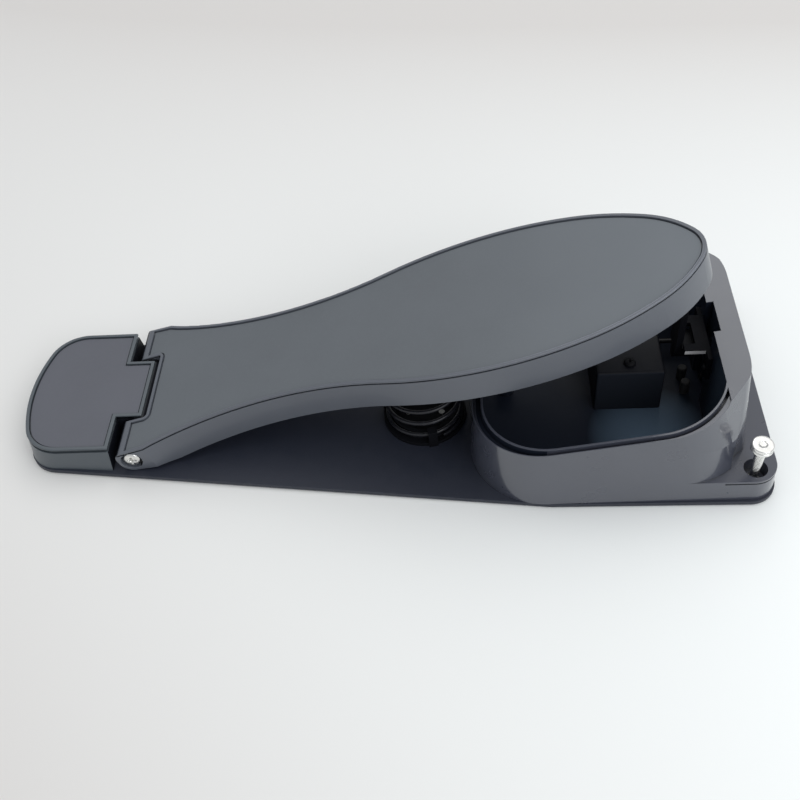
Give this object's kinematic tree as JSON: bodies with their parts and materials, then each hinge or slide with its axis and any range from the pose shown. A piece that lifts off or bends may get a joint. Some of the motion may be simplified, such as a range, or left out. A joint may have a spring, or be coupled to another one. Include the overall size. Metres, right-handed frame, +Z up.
{
  "type": "hi-hat control pedal",
  "caption": "Foot pedal controller with a waisted hinged footboard, return spring, toe housing with a position sensor, and anchor bolts at its toe corners.",
  "frame": {"origin": "on the floor under the middle of the base plate", "axes": "+X from heel to toe, +Y to the far side, +Z up"},
  "size_m": [0.35, 0.135, 0.0939],
  "materials": {
    "base_steel": "black textured powder coat, slightly rough",
    "pad_rubber": "matt black rubber",
    "heel_plastic": "moulded grey plastic, fine matt grain",
    "heel_grip": "matt grey grip sheet",
    "board_plastic": "moulded grey plastic, fine matt grain",
    "board_grip": "matt grey grip sheet",
    "housing_plastic": "moulded grey plastic, fine matt grain",
    "inner_plastic": "black moulded plastic",
    "steel": "zinc plated steel",
    "bolt_steel": "bright nickel plated steel",
    "spring_steel": "black coated spring wire, semi gloss",
    "black_nylon": "black nylon",
    "bush_nylon": "natural acetal",
    "hook_plastic": "black glass filled nylon",
    "bracket_steel": "bare zinc plated sheet",
    "buffer_rubber": "black rubber",
    "sensor_case": "tinned sheet case",
    "lever_plastic": "black acetal",
    "lead_jacket": "black flexible jacket",
    "plug_plastic": "natural nylon",
    "board_resin": "green solder mask",
    "socket_plastic": "black moulded socket"
  },
  "bodies": {
    "base": {"base_plate": "base_steel", "base_pads": "pad_rubber", "heel_block": "heel_plastic", "heel_pad": "heel_grip", "heel_screws": "steel", "hinge_pin": "steel", "hinge_washers": "steel", "hinge_screws": "bolt_steel", "return_spring": "spring_steel", "spring_cup": "black_nylon", "spring_cup_screws": "steel", "toe_housing": "housing_plastic", "housing_screws": "steel", "stop_bracket": "bracket_steel", "stop_bracket_screws": "steel", "stop_rubber": "buffer_rubber", "sensor_body": "sensor_case", "sensor_screws": "steel", "sensor_lead": "lead_jacket", "lead_connector": "plug_plastic", "circuit_board": "board_resin", "circuit_cover": "inner_plastic", "cover_screws": "steel", "socket_body": "socket_plastic", "socket_washer": "bolt_steel", "socket_nut": "bolt_steel", "press_bumpers": "buffer_rubber", "anchor_nuts": "steel"},
    "footboard": {"footboard": "board_plastic", "footboard_pad": "board_grip", "hinge_bushes": "bush_nylon", "spring_top_seat": "black_nylon", "toe_hook": "hook_plastic", "toe_hook_screws": "steel"},
    "sensor_lever": {"sensor_lever": "lever_plastic"},
    "anchor_bolt_near": {"anchor_bolt_near": "bolt_steel"},
    "anchor_bolt_far": {"anchor_bolt_far": "bolt_steel"}
  },
  "joints": [
    {"name": "footboard_hinge", "type": "hinge", "parent": "base", "child": "footboard", "pos_m": [-0.11663, 0, 0.0096], "axis": [0, 1, 0], "range_deg": [0, 4.4], "stiffness_Nm_per_rad": 11, "springref_deg": -10.89, "deforming": ["return_spring"]},
    {"name": "sensor_slide", "type": "slide", "parent": "base", "child": "sensor_lever", "axis": [0, 0, -1], "range_m": [0, 0.0199]},
    {"name": "anchor_bolt_near_slide", "type": "slide", "parent": "base", "child": "anchor_bolt_near", "axis": [0, 0, -1], "range_m": [0, 0.008]},
    {"name": "anchor_bolt_far_slide", "type": "slide", "parent": "base", "child": "anchor_bolt_far", "axis": [0, 0, -1], "range_m": [0, 0.004]}
  ],
  "couplings": [
    {"joint": "sensor_slide", "follows": "footboard_hinge", "m_per_rad": 0.25911}
  ]
}
